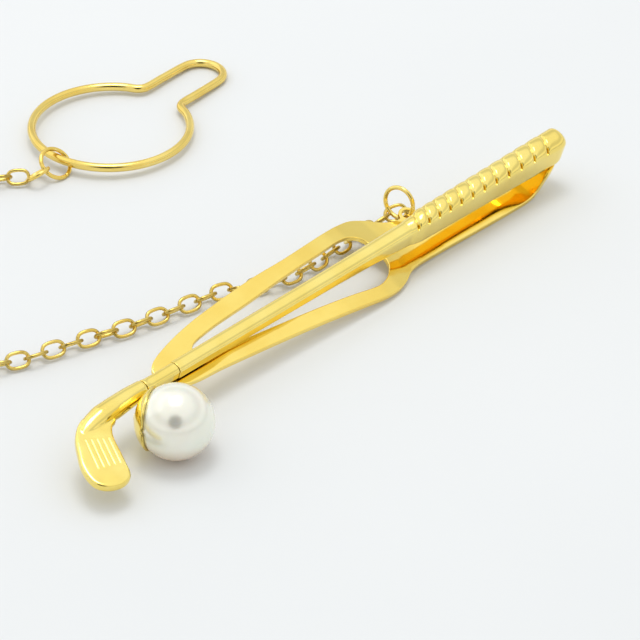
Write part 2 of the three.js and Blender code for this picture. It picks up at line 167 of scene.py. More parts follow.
def grid_faces(rows, columns, wrap_rows=False, first=0):
    """Quads over rows of points, each row closed on itself."""
    faces = []
    for r in range(rows if wrap_rows else rows - 1):
        here, there = first + r * columns, first + ((r + 1) % rows) * columns
        for k in range(columns):
            n = (k + 1) % columns
            faces.append((here + k, here + n, there + n, there + k))
    return faces


def capped_loft(rings):
    """Points and faces of a closed skin through the rings, each end closed by shrinking rings."""
    first, last = rings[0], rings[-1]
    inner = [1 - share for share in (0.05, 0.3, 0.65)]
    start = [first.mean(axis=0) + (first - first.mean(axis=0)) * s for s in reversed(inner)]
    end = [last.mean(axis=0) + (last - last.mean(axis=0)) * s for s in inner]
    every = start + list(rings) + end
    columns = len(first)
    points = np.vstack(every + [first.mean(axis=0)[None], last.mean(axis=0)[None]])
    faces = grid_faces(len(every), columns)
    tail = (len(every) - 1) * columns
    low, high = len(points) - 2, len(points) - 1
    for k in range(columns):
        n = (k + 1) % columns
        faces.append((low, n, k))
        faces.append((high, tail + k, tail + n))
    return points, faces


def wire_loop(line, normals, radius, sides=16):
    """A closed round wire along a closed line whose plane normal is known at each point."""
    tangent = np.roll(line, -1, axis=0) - np.roll(line, 1, axis=0)
    tangent /= np.linalg.norm(tangent, axis=1)[:, None]
    outward = np.cross(tangent, normals)
    rings = []
    for k in range(sides):
        angle = 2 * math.pi * k / sides
        rings.append(line + radius * (math.cos(angle) * outward + math.sin(angle) * normals))
    points = np.stack(rings, axis=1).reshape(-1, 3)
    return points, grid_faces(len(line), sides, wrap_rows=True)


def gaussian(distance, width):
    return np.exp(-(distance / width) ** 2)


def smoothstep(low, high, x):
    t = np.clip((x - low) / (high - low), 0, 1)
    return t * t * (3 - 2 * t)


# ------------------------------------------------------------------ materials
class Nodes:
    """A short way to write a node tree."""

    def __init__(self, tree):
        self.tree = tree

    def add(self, kind, inputs=(), **settings):
        node = self.tree.nodes.new(kind)
        for key, value in settings.items():
            setattr(node, key, value)
        for key, value in dict(inputs).items():
            if isinstance(value, bpy.types.NodeSocket):
                self.tree.links.new(value, node.inputs[key])
            else:
                node.inputs[key].default_value = value
        return node

    def noise(self, place, scale, detail=3.0):
        node = self.add("ShaderNodeTexNoise", {"Vector": place, "Scale": scale, "Detail": detail})
        return node.outputs["Fac"]

    def spread(self, value, low, high, start, end):
        node = self.add("ShaderNodeMapRange", {
            "Value": value, "From Min": low, "From Max": high, "To Min": start, "To Max": end})
        return node.outputs["Result"]

    def mix(self, share, first, second):
        node = self.add("ShaderNodeMix", data_type="RGBA")
        values = {0: share, 6: first, 7: second}
        for number, value in values.items():
            socket = node.inputs[number]
            if isinstance(value, bpy.types.NodeSocket):
                self.tree.links.new(value, socket)
            else:
                socket.default_value = value
        return node.outputs[2]

    def drive(self, shader, tone, rough, bump):
        """Join a colour, a roughness and a bump node to a surface shader."""
        self.tree.links.new(tone, shader.inputs["Base Color"])
        self.tree.links.new(rough, shader.inputs["Roughness"])
        self.tree.links.new(bump.outputs["Normal"], shader.inputs["Normal"])


def new_material(name):
    material = bpy.data.materials.new(name)
    material.use_nodes = True
    nodes = Nodes(material.node_tree)
    return material, nodes, material.node_tree.nodes["Principled BSDF"]


def gold(name, bright, deep, roughness, scratch=0.05, along=(1, 1, 1)):
    """Polished gold plate: cloudy thickness of plating, worn bright edges, painted shade darkening
    the creases and pits, and fine polishing lines."""
    material, n, shader = new_material(name)
    place = n.add("ShaderNodeTexCoord").outputs["Object"]
    cloud = n.noise(place, 260.0)
    tone = n.mix(n.spread(cloud, 0.35, 0.65, 0.0, 1.0), (*bright, 1), (*deep, 1))
    bend = n.add("ShaderNodeNewGeometry").outputs["Pointiness"]
    # Painted shade: creases and pits, found by low pointiness, are darkened to near black in place
    # of the shade that falls in them.
    crease_shade = n.spread(bend, 0.39, 0.465, 1.0, 0.0)
    tone = n.mix(crease_shade, tone, (deep[0] * 0.36, deep[1] * 0.26, deep[2] * 0.15, 1))
    pit_shade = n.spread(bend, 0.41, 0.46, 1.0, 0.0)
    tone = n.mix(pit_shade, tone, (0.035, 0.02, 0.006, 1))
    worn = n.spread(bend, 0.53, 0.62, 0.0, 0.35)
    tone = n.mix(worn, tone, (1.0, 0.86, 0.45, 1))
    stretched = n.add("ShaderNodeMapping", {"Vector": place, "Scale": along}).outputs["Vector"]
    lines = n.noise(stretched, 5200.0, 2.0)
    handled = n.spread(n.noise(place, 900.0), 0.3, 0.7, roughness * 0.7, roughness * 1.35)
    bump = n.add("ShaderNodeBump", {"Height": lines, "Strength": scratch, "Distance": 0.00002})
    n.drive(shader, tone, handled, bump)
    shader.inputs["Metallic"].default_value = 1.0
    return material


def pearl_material():
    """Akoya nacre: cream body with faint rose and green clouds under a clear lustre."""
    material, n, shader = new_material("nacre")
    place = n.add("ShaderNodeTexCoord").outputs["Object"]
    cloud = n.spread(n.noise(place, 210.0, 2.0), 0.35, 0.65, 0.0, 1.0)
    tone = n.mix(cloud, (0.90, 0.875, 0.76, 1), (0.85, 0.875, 0.77, 1))
    rose = n.spread(n.noise(place, 130.0, 1.0), 0.5, 0.75, 0.0, 0.5)
    tone = n.mix(rose, tone, (0.88, 0.76, 0.70, 1))
    # Painted reflection: faces turned downward are tinted warm peach in place of the gold light
    # reflected up onto the pearl.
    facing = n.add("ShaderNodeNewGeometry").outputs["Normal"]
    under = n.add("ShaderNodeSeparateXYZ", {"Vector": facing}).outputs["Z"]
    tone = n.mix(n.spread(under, -0.85, -0.15, 0.75, 0.0), tone, (0.95, 0.70, 0.50, 1))
    grain = n.noise(place, 1400.0, 3.0)
    rough = n.spread(grain, 0.3, 0.7, 0.20, 0.25)
    bump = n.add("ShaderNodeBump", {"Height": grain, "Strength": 0.012, "Distance": 0.00003})
    n.drive(shader, tone, rough, bump)
    shader.inputs["Metallic"].default_value = 0.5
    shader.inputs["Subsurface Weight"].default_value = 0.35
    shader.inputs["Subsurface Radius"].default_value = (1.0, 0.8, 0.55)
    shader.inputs["Subsurface Scale"].default_value = 0.0012
    shader.inputs["IOR"].default_value = 1.68
    shader.inputs["Coat Weight"].default_value = 0.5
    shader.inputs["Coat Roughness"].default_value = 0.1
    shader.inputs["Coat IOR"].default_value = 1.6
    return material


def paper_material():
    material, n, shader = new_material("table_paper")
    place = n.add("ShaderNodeTexCoord").outputs["Object"]
    fibre = n.noise(place, 1500.0, 4.0)
    tone = n.mix(n.spread(n.noise(place, 18.0), 0.3, 0.7, 0.0, 1.0),
                 (0.765, 0.782, 0.786, 1), (0.782, 0.798, 0.802, 1))
    n.tree.links.new(tone, shader.inputs["Base Color"])
    bump = n.add("ShaderNodeBump", {"Height": fibre, "Strength": 0.03, "Distance": 0.00005})
    n.tree.links.new(bump.outputs["Normal"], shader.inputs["Normal"])
    shader.inputs["Roughness"].default_value = 0.85
    shader.inputs["Specular IOR Level"].default_value = 0.2
    return material


CLUB_GOLD = gold("club_gold_polish", (0.97, 0.80, 0.25), (0.93, 0.73, 0.19),
                 0.13, 0.05, (0.15, 1, 1))
STRIP_GOLD = gold("strip_gold_polish", (0.98, 0.76, 0.20), (0.95, 0.70, 0.16),
                  0.085, 0.04, (0.12, 1, 1))
WIRE_GOLD = gold("wire_gold_drawn", (0.92, 0.72, 0.22), (0.85, 0.62, 0.15), 0.17, 0.07)
NACRE = pearl_material()

# ------------------------------------------------------------------ safety chain
ROUTE_STEPS, ROUTE_GAP = 24, 0.2


def route(points):
    """A smooth even line through the points, in the row frame, and the run along it."""
    line = evenly(centripetal(points, False, ROUTE_STEPS), ROUTE_GAP) + SHIFT
    steps = np.linalg.norm(np.diff(line, axis=0), axis=1)
    return line, np.concatenate([[0], np.cumsum(steps)])


# The end links run on past the route, into the rings.
AT_CLIP_RING = (15.9, 5.35, 1.88)
AT_LOOP_RING = (-5.55, 37.75, 1.0)
link_line, link_run = route([AT_CLIP_RING] + CHAIN_ROUTE + [AT_LOOP_RING])
LINK_SEED, LINK_ROLL, ROLL_SPREAD, LOOK_AHEAD = 7, 45, 7, 0.9


def on_chain(distance):
    return np.array([np.interp(distance, link_run, link_line[:, k]) for k in range(3)])


def make_chain():
    """Oval wire links, each a quarter turn from the last, lying over on their corners."""
    chance = np.random.default_rng(LINK_SEED)
    whole = float(link_run[-1])
    count = int(math.ceil((whole - 2 * LINK_HALF_LENGTH) / LINK_PITCH)) + 1
    pitch = (whole - 2 * LINK_HALF_LENGTH) / (count - 1)
    angles = np.linspace(0, 2 * math.pi, 40, endpoint=False)
    straight = LINK_HALF_LENGTH - LINK_HALF_WIDTH
    oval = np.stack([
        LINK_HALF_WIDTH * np.cos(angles) + straight * np.tanh(3.0 * np.cos(angles)),
        LINK_HALF_WIDTH * np.sin(angles), np.zeros_like(angles)], axis=1)
    points, faces = [], []
    for k in range(count):
        place = LINK_HALF_LENGTH + k * pitch
        centre = on_chain(place)
        ahead = on_chain(place + LOOK_AHEAD) - on_chain(place - LOOK_AHEAD)
        along = ahead / np.linalg.norm(ahead)
        side = np.cross([0, 0, 1.0], along)
        side /= np.linalg.norm(side)
        upright = np.cross(along, side)
        lean = LINK_ROLL if k % 2 else -LINK_ROLL
        roll = math.radians(lean + chance.uniform(-ROLL_SPREAD, ROLL_SPREAD))
        wide = math.cos(roll) * side + math.sin(roll) * upright
        normal = np.cross(along, wide)
        line = centre + oval[:, :1] * along + oval[:, 1:2] * wide
        link, skin = wire_loop(line, np.tile(normal, (len(line), 1)), LINK_WIRE, 12)
        first = sum(len(p) for p in points)
        points.append(link)
        faces += [tuple(first + v for v in face) for face in skin]
    return np.vstack(points), faces


chain = solid("safety_chain_links", *make_chain(), WIRE_GOLD, "wire_gold")
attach(chain, "strip")
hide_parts("safety_chain")


# ------------------------------------------------------------------ rings and button loop
SEAM_DEPTH, SEAM_WIDTH = 0.22, 0.07


def make_ring(name, centre, normal, radius, wire, seam, body, node):
    """A jump ring closed by butting its ends, with the joint as a fine groove."""
    axis = Vector(normal).normalized()
    across = axis.orthogonal().normalized()
    other = axis.cross(across)
    angles = np.linspace(0, 2 * math.pi, 120, endpoint=False)
    line = np.asarray(centre, float) + SHIFT + radius * (
        np.cos(angles)[:, None] * np.array(across) + np.sin(angles)[:, None] * np.array(other))
    pinch = 1 - SEAM_DEPTH * gaussian((angles - seam) * radius, SEAM_WIDTH)
    points, faces = wire_loop(line, np.tile(np.array(axis), (len(line), 1)), wire, 18)
    rings = points.reshape(len(line), -1, 3)
    rings = line[:, None] + (rings - line[:, None]) * pinch[:, None, None]
    ring = solid(name, rings.reshape(-1, 3), faces, WIRE_GOLD, "wire_gold")
    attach(ring, body)
    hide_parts(node)
    return ring


make_ring("strip_jump_ring", (14.95, 5.4, 3.08), (0.97, 0.18, -0.15), 1.6, 0.225, 2.2,
          "ring", "clip_jump_ring")
inner_ring = make_ring("inner_jump_ring", (-2.32, 37.3, 1.3), (0.1, -0.64, 0.77), 1.65, 0.22, 4.0,
                       "strip", "loop_ring_inner")
outer_ring = make_ring("outer_jump_ring", (-4.67, 37.36, 1.02), (-0.08, 0.6, 0.79), 1.2, 0.225, 1.0,
                       "strip", "loop_ring_outer")


MOUTH_EASE, NECK_RUN, NECK_EASE = 0.06, 0.45, 0.02


def loop_points():
    """Centre line of the button loop in its own plane: most of a circle, then a narrow slot."""
    mouth = math.asin(SLOT_HALF / LOOP_RADIUS)
    start = mouth + MOUTH_EASE
    turn = 2 * math.pi - 2 * start
    points = []
    for k in range(37):
        angle = start + turn * k / 36
        points.append((LOOP_RADIUS * math.cos(angle), LOOP_RADIUS * math.sin(angle), 0))
    mouth_x = LOOP_RADIUS * math.cos(mouth)
    middle = ((mouth_x + SLOT_LENGTH) / 2, (SLOT_HALF + SLOT_END_HALF) / 2)
    points.append((mouth_x + NECK_RUN, -SLOT_HALF - NECK_EASE, 0))
    points.append((middle[0], -middle[1], 0))
    for k in range(11):
        angle = -math.pi / 2 + math.pi * k / 10
        points.append((SLOT_LENGTH + SLOT_END_HALF * math.cos(angle),
                       SLOT_END_HALF * math.sin(angle), 0))
    points.append((middle[0], middle[1], 0))
    points.append((mouth_x + NECK_RUN, SLOT_HALF + NECK_EASE, 0))
    return points


def make_loop():
    line = evenly(centripetal(loop_points(), True, 12), 0.16, closed=True)
    tilt, turn = LOOP_TILT, LOOP_TURN
    height = LOOP_WIRE + (SLOT_LENGTH + SLOT_END_HALF) * math.sin(tilt) + LOOP_LIFT
    about_y = np.array([[math.cos(tilt), 0, math.sin(tilt)],
                        [0, 1, 0],
                        [-math.sin(tilt), 0, math.cos(tilt)]])
    about_z = np.array([[math.cos(turn), -math.sin(turn), 0],
                        [math.sin(turn), math.cos(turn), 0],
                        [0, 0, 1]])
    # An XYZ turn, as the CAD source has it.
    turned = about_y @ about_z
    placed = line @ turned.T + np.array([LOOP_CENTRE_X, LOOP_CENTRE_Y, height]) + SHIFT
    normals = np.tile(turned @ np.array([0, 0, 1.0]), (len(line), 1))
    return wire_loop(placed, normals, LOOP_WIRE, 24)


loop = solid("button_loop_wire", *make_loop(), WIRE_GOLD, "wire_gold")
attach(loop, "loop")
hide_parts("button_loop")


# ------------------------------------------------------------------ club
BACK_CORNER, BACK_POINTS, CORNER_POINTS, WALL_STEPS = 0.16, 12, 5, 8


def section(half, wall, dome, back, columns=112):
    """One domed section as y, z, outward y, outward z and the angle over the dome in degrees,
    anticlockwise about +X."""
    corner = BACK_CORNER
    points = []
    for k in range(BACK_POINTS):
        y = -half + corner + (2 * half - 2 * corner) * (k + 0.5) / BACK_POINTS
        points.append((y, back, 0.0, -1.0, -1.0))
    for k in range(CORNER_POINTS):
        angle = math.radians(-90 + 90 * k / (CORNER_POINTS - 1))
        points.append((half - corner + corner * math.cos(angle),
                       back + corner + corner * math.sin(angle),
                       math.cos(angle), math.sin(angle), -1.0))
    walls = WALL_STEPS
    for k in range(1, walls):
        points.append((half, back + corner + (wall - corner) * k / walls, 1.0, 0.0, -1.0))
    arch = columns - BACK_POINTS - 2 * CORNER_POINTS - 2 * (walls - 1)
    for k in range(arch):
        angle = math.pi * k / (arch - 1)
        out = np.array([math.cos(angle) / half, math.sin(angle) / dome])
        out /= np.linalg.norm(out)
        points.append((half * math.cos(angle), back + wall + dome * math.sin(angle),
                       out[0], out[1], math.degrees(angle)))
    for k in range(walls - 1, 0, -1):
        points.append((-half, back + corner + (wall - corner) * k / walls, -1.0, 0.0, -1.0))
    for k in range(CORNER_POINTS):
        angle = math.radians(180 + 90 * k / (CORNER_POINTS - 1))
        points.append((-half + corner + corner * math.cos(angle),
                       back + corner + corner * math.sin(angle),
                       math.cos(angle), math.sin(angle), -1.0))
    return np.array(points)


def bar(name, stations, xs, edge, node, blunt_end=False):
    """A domed bar whose ends are eased by `edge`, the far one only if it isn't blunt."""
    rings = []
    for x in xs:
        half, wall, dome, back = stations_at(stations, x)
        ease = max(0.0, edge - (x - xs[0]), 0.0 if blunt_end else edge - (xs[-1] - x))
        ease = edge - math.sqrt(max(0.0, edge ** 2 - ease ** 2))
        s = section(half, wall, dome, back)
        rings.append(np.stack([np.full(len(s), x), s[:, 0] - ease * s[:, 2],
                               s[:, 1] - ease * s[:, 3]], axis=1))
    points, faces = capped_loft(rings)
    piece = solid(name, from_clip(points), faces, CLUB_GOLD, "club_gold")
    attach(piece, "club")
    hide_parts(node)
    return piece


def eased_ends(start, end, edge, gap):
    near = start + edge * (1 - np.cos(np.linspace(0, math.pi / 2, 7)))
    middle = np.arange(start + edge + gap, end - edge, gap)
    return np.concatenate([near, middle, end - (near - start)[::-1]])


SHAFT_STATIONS = [
    (SHAFT_HEAD_X, 0.72, 0.88, 0.45, SHAFT_BACK), (-10, 0.74, 0.94, 0.48, SHAFT_BACK),
    (0, 0.78, 1.06, 0.52, SHAFT_BACK - 0.04), (5, 0.82, 1.24, 0.56, SHAFT_BACK - 0.16),
    (GRIP_X, 0.88, 1.56, 0.62, SHAFT_END_BACK)]
SHAFT_EDGE, SHAFT_GAP = 0.04, 0.3
# The shaft's far end stays blunt, so that no groove shows where the grip begins.
shaft_xs = np.concatenate([SHAFT_HEAD_X + np.linspace(0, SHAFT_EDGE, 6),
                           np.arange(SHAFT_HEAD_X + SHAFT_GAP, GRIP_X - 0.1, SHAFT_GAP),
                           [GRIP_X - 0.006, GRIP_X - 0.002]])
bar("shaft_bar", SHAFT_STATIONS, shaft_xs, SHAFT_EDGE, "club_shaft", blunt_end=True)


def collar_stations():
    start, end = HOSEL_X + SOLDER_GAP, SHAFT_HEAD_X - SOLDER_GAP
    sizes = [(start, 0.68, 0.9, 0.49), (start + 0.5, 0.64, 0.85, 0.46),
             (start + 1.9, 0.625, 0.83, 0.45),
             (end - 0.5, 0.63, 0.84, 0.45), (end, 0.65, 0.85, 0.46)]
    return [(*size, SHAFT_BACK) for size in sizes]


bar("ferrule_collar", collar_stations(),
    eased_ends(HOSEL_X + SOLDER_GAP, SHAFT_HEAD_X - SOLDER_GAP, 0.07, 0.12), 0.07, "hosel_ferrule")

GRIP_STATIONS = [
    (GRIP_X, 0.88, 1.56, 0.62, SHAFT_END_BACK),
    (GRIP_X + 0.9, 0.97, 1.78, 0.71, -1.04),
    (GRIP_X + 2, 1.08, 2.03, 0.82, GRIP_BACK),
    (BUTT_X - BUTT_ROUND, 1.32, 2.22, 1.0, GRIP_BACK),
    (BUTT_X, 1.32, 2.22, 1.0, GRIP_BACK),
]
GROOVE_XS = np.array([FIRST_GROOVE_X + FIRST_PITCH * k + PITCH_GROWTH * k * k
                      for k in range(GROOVES)])
GRIP_GAP = 0.055
GROOVE_DEPTH, GROOVE_WIDTH, VALLEY_DEPTH, VALLEY_WIDTH = 0.15, 0.13, 0.05, 0.3
SLIT_DEPTH, SLIT_WIDTH, PILLOW = 0.46, 0.08, 0.05


def make_grip():
    """Twelve pillowed turns over the dome, each cut off by a slanted groove that ends in a
    deeper slit above the plain side."""
    butt = BUTT_X - BUTT_ROUND
    xs = np.concatenate([[GRIP_X, GRIP_X + 0.004], np.linspace(GRIP_X + 0.03, GRIP_X + 0.3, 9),
                         np.arange(GRIP_X + 0.35, butt, GRIP_GAP),
                         butt + BUTT_ROUND * np.linspace(0, 1, 26)])
    lean = np.interp(xs, [GRIP_X, GRIP_X + 0.35, GRIP_X + 0.9, butt, BUTT_X], [0, 0.3, 1, 0.9, 0])
    rings = []
    for x, slant in zip(xs, lean):
        half, wall, dome, back = stations_at(GRIP_STATIONS, x)
        s = section(half, wall, dome, back)
        angle = s[:, 4]
        on_dome = smoothstep(8, 22, angle) * (1 - smoothstep(158, 172, angle))
        on_dome = np.where(angle < 0, 0.0, on_dome)
        away = np.abs(x - GROOVE_XS).min()
        slit = smoothstep(126, 138, angle) * (1 - smoothstep(166, 173, angle))
        slit = slit + smoothstep(7, 14, angle) * (1 - smoothstep(42, 54, angle))
        fine = GROOVE_DEPTH * gaussian(away, GROOVE_WIDTH)
        fine = fine + VALLEY_DEPTH * gaussian(away, VALLEY_WIDTH)
        cut = np.where(angle < 0, 0, slit) * SLIT_DEPTH * gaussian(away, SLIT_WIDTH)
        depth = on_dome * fine + cut
        after = np.searchsorted(GROOVE_XS, x)
        if 0 < after < GROOVES:
            share = (x - GROOVE_XS[after - 1]) / (GROOVE_XS[after] - GROOVE_XS[after - 1])
            depth = depth - on_dome * PILLOW * math.sin(math.pi * share)
        y, z = s[:, 0] - depth * s[:, 2], s[:, 1] - depth * s[:, 3]
        turn = max(0.0, (x - butt) / BUTT_ROUND)
        shrink = math.sqrt(1 - 0.55 * turn ** 3)
        middle = back + 0.42 * (wall + dome)
        rings.append(np.stack([x + slant * GROOVE_SLANT * y, y * shrink,
                               middle + (z - middle) * shrink], axis=1))
    return capped_loft(rings)


grip_points, grip_faces = make_grip()
grip = solid("grip_turns", from_clip(grip_points), grip_faces, CLUB_GOLD, "club_gold")
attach(grip, "club")
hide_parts("club_grip")

# ------------------------------------------------------------------ club head
HOSEL_STATIONS = [
    (HOSEL_X, 0, 0.72, 0.74), (HOSEL_X - 0.18, 0, 0.86, 0.86), (-26.2, -0.05, 0.98, 0.94),
    (-28.2, -0.18, 1.08, 0.98), (-29.8, -0.26, 1.08, 0.92), (-31.0, -0.42, 0.92, 0.74),
    (-31.9, -0.62, 0.72, 0.52), (-32.6, -0.9, 0.4, 0.28),
]
BLADE_OUTLINE = [
    (-29.4, 0.62), (-30.6, 0.52), (-31.7, 0.3), (-32.5, -0.15), (-33.4, -0.98), (-34.3, -2.33),
    (-34.95, -3.5), (-35.33, -4.8), (-35.3, -5.85), (-34.8, -6.6), (-33.95, -7.1),
    (-33.0, -7.25), (-32.2, -7.0), (-31.8, -6.5), (-31.5, -5.7), (-31.02, -4.36),
    (-30.55, -3.05), (-30.1, -2.22), (-29.6, -1.7), (-28.9, -1.35),
]
HEEL_FAR, HEEL_NEAR = np.array([-33.05, -1.35]), np.array([-30.75, -2.6])
TOE_FAR, TOE_NEAR = np.array([-34.4, -4.8]), np.array([-31.85, -5.6])
SCORE_LINES, SCORE_WIDTH, SCORE_DEPTH = 5, 0.11, 0.014
HEAD_VOXEL, HEAD_EASE_ROUNDS = 0.055, 14


def from_line(points, start, end):
    """Distance in plan of each point from a straight line's stretch."""
    d = end - start
    t = np.clip(((points - start) @ d) / (d @ d), 0, 1)
    return np.linalg.norm(points - start - t[:, None] * d, axis=1)


def make_head():
    """The hosel and blade fused into one casting by a fine remesh, then eased and scored."""
    tip = HOSEL_STATIONS[-1][0]
    xs = np.concatenate([HOSEL_X - np.linspace(0, 0.2, 6), np.arange(HOSEL_X - 0.4, tip, -0.25),
                         [tip]])
    rings = []
    for x in xs[::-1]:
        y, half, tall = stations_at(HOSEL_STATIONS, x)
        turn = np.linspace(0, 2 * math.pi, 48, endpoint=False)
        rings.append(np.stack([np.full(48, x), y + half * np.cos(turn),
                               tall * np.sin(turn)], axis=1))
    hosel, hosel_faces = capped_loft(rings)
    outline = centripetal([(x, y, 0) for x, y in BLADE_OUTLINE], True, 10)
    outline = evenly(outline, 0.12, closed=True)
    inward = np.roll(outline, -1, axis=0) - np.roll(outline, 1, axis=0)
    inward = np.stack([-inward[:, 1], inward[:, 0], np.zeros(len(inward))], axis=1)
    inward /= np.linalg.norm(inward, axis=1)[:, None]
    centre = outline.mean(axis=0)
    low = BLADE_TOP - BLADE_THICK
    levels = []
    for inset, z in ((0.26, low), (0.1, low + 0.06), (0.0, low + 0.22), (0.0, BLADE_TOP - 0.2),
                     (0.07, BLADE_TOP - 0.06), (0.22, BLADE_TOP)):
        ring = outline + inward * inset
        ring[:, 2] = z
        levels.append(ring)
    blade = np.vstack(levels + [[[centre[0], centre[1], low]], [[centre[0], centre[1], BLADE_TOP]]])
    columns = len(outline)
    blade_faces = grid_faces(len(levels), columns)
    top = (len(levels) - 1) * columns
    for k in range(columns):
        n = (k + 1) % columns
        blade_faces.append((len(blade) - 2, n, k))
        blade_faces.append((len(blade) - 1, top + k, top + n))
    points = np.vstack([hosel, blade])
    faces = hosel_faces + [tuple(v + len(hosel) for v in f) for f in blade_faces]
    rough = bpy.data.meshes.new("head_rough")
    rough.from_pydata([tuple(p) for p in points], [], faces)
    rough.update()
    body = bpy.data.objects.new("head_rough", rough)
    SCENE.collection.objects.link(body)
    remesh = body.modifiers.new("fuse", "REMESH")
    remesh.mode = "VOXEL"
    remesh.voxel_size = HEAD_VOXEL
    ease = body.modifiers.new("ease", "SMOOTH")
    ease.factor, ease.iterations = 0.5, HEAD_EASE_ROUNDS
    evaluated = body.evaluated_get(bpy.context.evaluated_depsgraph_get())
    fused = bpy.data.meshes.new_from_object(evaluated)
    bpy.data.objects.remove(body)
    place = np.zeros(len(fused.vertices) * 3)
    fused.vertices.foreach_get("co", place)
    place = place.reshape(-1, 3)
    skin = [tuple(p.vertices) for p in fused.polygons]
    # Score the face: a cross line at the heel and the toe, and lines between them.
    lines = [(HEEL_FAR, HEEL_NEAR), (TOE_FAR, TOE_NEAR)]
    for k in range(SCORE_LINES):
        part = 0.1 + 0.8 * k / (SCORE_LINES - 1)
        heel = HEEL_FAR + (HEEL_NEAR - HEEL_FAR) * part
        toe = TOE_FAR + (TOE_NEAR - TOE_FAR) * part
        lines.append((heel + (toe - heel) * 0.06, toe + (heel - toe) * 0.06))
    cut = np.zeros(len(place))
    for start, end in lines:
        away = from_line(place[:, :2], start, end)
        cut = np.maximum(cut, gaussian(away, SCORE_WIDTH))
    on_face = smoothstep(BLADE_TOP - 0.14, BLADE_TOP - 0.04, place[:, 2])
    place[:, 2] -= SCORE_DEPTH * cut * on_face
    return place, skin


head_points, head_faces = make_head()
head = solid("iron_head", from_clip(head_points), head_faces, CLUB_GOLD, "club_gold")
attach(head, "club")
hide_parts("club_head")

# ------------------------------------------------------------------ pearl and setting
PEARL_COLUMNS, CUP_COLUMNS, CUP_ROWS = 128, 144, 20
NOTCH_DEPTH, NOTCH_WIDTH = 0.07, 0.16
SIDE = SETTING_AXIS.orthogonal().normalized()
OTHER = SETTING_AXIS.cross(SIDE)


def onto_setting(radius, height, angles):
    """Rings about the setting's axis."""
    axis, side, other = (np.array(v) for v in (SETTING_AXIS, SIDE, OTHER))
    return PEARL_CENTRE + height * axis + radius * (
        np.cos(angles)[:, None] * side + np.sin(angles)[:, None] * other)


def make_pearl():
    """A ball with a blind hole for the peg."""
    angles = np.linspace(0, 2 * math.pi, PEARL_COLUMNS, endpoint=False)
    hole = PEG_RADIUS + FREE_GAP
    mouth = math.asin(hole / PEARL_RADIUS)
    rings = [onto_setting(hole * s, PEG_START - FREE_GAP, angles) for s in (0.05, 0.5, 0.9, 1.0)]
    for height in np.linspace(PEG_START, PEARL_RADIUS * math.cos(mouth), 8):
        rings.append(onto_setting(hole, height, angles))
    for turn in np.linspace(mouth, math.pi, 84)[1:-1]:
        rings.append(onto_setting(PEARL_RADIUS * math.sin(turn), PEARL_RADIUS * math.cos(turn),
                                  angles))
    points = np.vstack(rings)
    faces = grid_faces(len(rings), PEARL_COLUMNS)
    axis = np.array(SETTING_AXIS)
    points = np.vstack([points, PEARL_CENTRE + axis * (PEG_START - FREE_GAP),
                        PEARL_CENTRE - axis * PEARL_RADIUS])
    tail = (len(rings) - 1) * PEARL_COLUMNS
    for k in range(PEARL_COLUMNS):
        n = (k + 1) % PEARL_COLUMNS
        faces.append((len(points) - 2, n, k))
        faces.append((len(points) - 1, tail + k, tail + n))
    return points, [tuple(reversed(f)) for f in faces]


pearl_points, pearl_faces = make_pearl()
pearl = solid("pearl_ball", from_clip(pearl_points), pearl_faces, NACRE, "nacre")
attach(pearl, "club")
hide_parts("pearl")


def make_cup():
    """A thin dish with a rolled rim and one bite out of it."""
    angles = np.linspace(0, 2 * math.pi, CUP_COLUMNS, endpoint=False)
    inner, outer = PEARL_RADIUS + 0.01, PEARL_RADIUS + FREE_GAP + CUP_THICK
    hole = math.asin((PEG_RADIUS + FREE_GAP) / inner)
    toward = np.array(Vector((-0.988, 0.125, 0.097)))
    place = math.atan2(toward @ np.array(OTHER), toward @ np.array(SIDE))
    gap = np.abs((angles - place + math.pi) % (2 * math.pi) - math.pi)
    gap = gap * inner * math.sin(CUP_ANGLE)
    rim = CUP_ANGLE - NOTCH_DEPTH * gaussian(gap, NOTCH_WIDTH)
    axis, side, other = (np.array(v) for v in (SETTING_AXIS, SIDE, OTHER))
    out = np.cos(angles)[:, None] * side + np.sin(angles)[:, None] * other
    rings = []

    def ring(radius, turn):
        turn = np.broadcast_to(turn, angles.shape)[:, None]
        rings.append(PEARL_CENTRE + radius * (np.cos(turn) * axis + np.sin(turn) * out))

    for k in range(CUP_ROWS + 1):
        ring(outer, hole + (rim - hole) * k / CUP_ROWS)
    middle, roll = (inner + outer) / 2, (outer - inner) / 2
    for bend in (30, 60, 90, 120, 150):
        a = math.radians(bend)
        ring(middle + roll * math.cos(a), rim + roll * math.sin(a) / middle)
    for k in range(CUP_ROWS, -1, -1):
        ring(inner, hole + (rim - hole) * k / CUP_ROWS)
    return np.vstack(rings), grid_faces(len(rings), CUP_COLUMNS, wrap_rows=True)


cup_points, cup_faces = make_cup()
cup = solid("pearl_dish", from_clip(cup_points), cup_faces, CLUB_GOLD, "club_gold")
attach(cup, "club")
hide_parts("pearl_cup")

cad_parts["pearl_peg"].data.materials.clear()
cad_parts["pearl_peg"].data.materials.append(CLUB_GOLD)

# ------------------------------------------------------------------ spring strip
# The lead-in lip, the first three places, bends down less than the CAD strip's.
STRIP_LINE = [
    (-21.8, -1.2), (-21.1, -1.13), (-20.4, -1.1), (-17.0, -1.1), (-15.5, -1.17), (-10, -1.55),
    (-5, -1.94), (0, -2.38), (4, -2.8), (7.5, -3.18), (10, -3.42), (12.5, -3.6), (14, -3.65),
    (27.1, -3.65), (28.1, -3.46), (28.8, -3.02), (29.4, -2.4), (29.8, -1.95), (30.3, -1.56),
    (30.7, -1.45), (31.1, -1.43), (32.4, -1.43),
]
STRIP_NEAR = [
    (-21.75, 0.8), (-21.2, 1.45), (-20.3, 2.1), (-18.8, 2.45), (-16, 2.6), (-10, 3.0),
    (-4, 3.45), (2, 4.0), (5, 4.25), (6.8, 4.15), (8.4, 3.65), (9.8, 2.95), (11.4, 2.65),
    (14, 2.6), (20, 2.75), (25, 2.85), (28, 2.8), (29.5, 2.55), (30.4, 2.4), (31.4, 2.0),
    (32.1, 1.3),
]
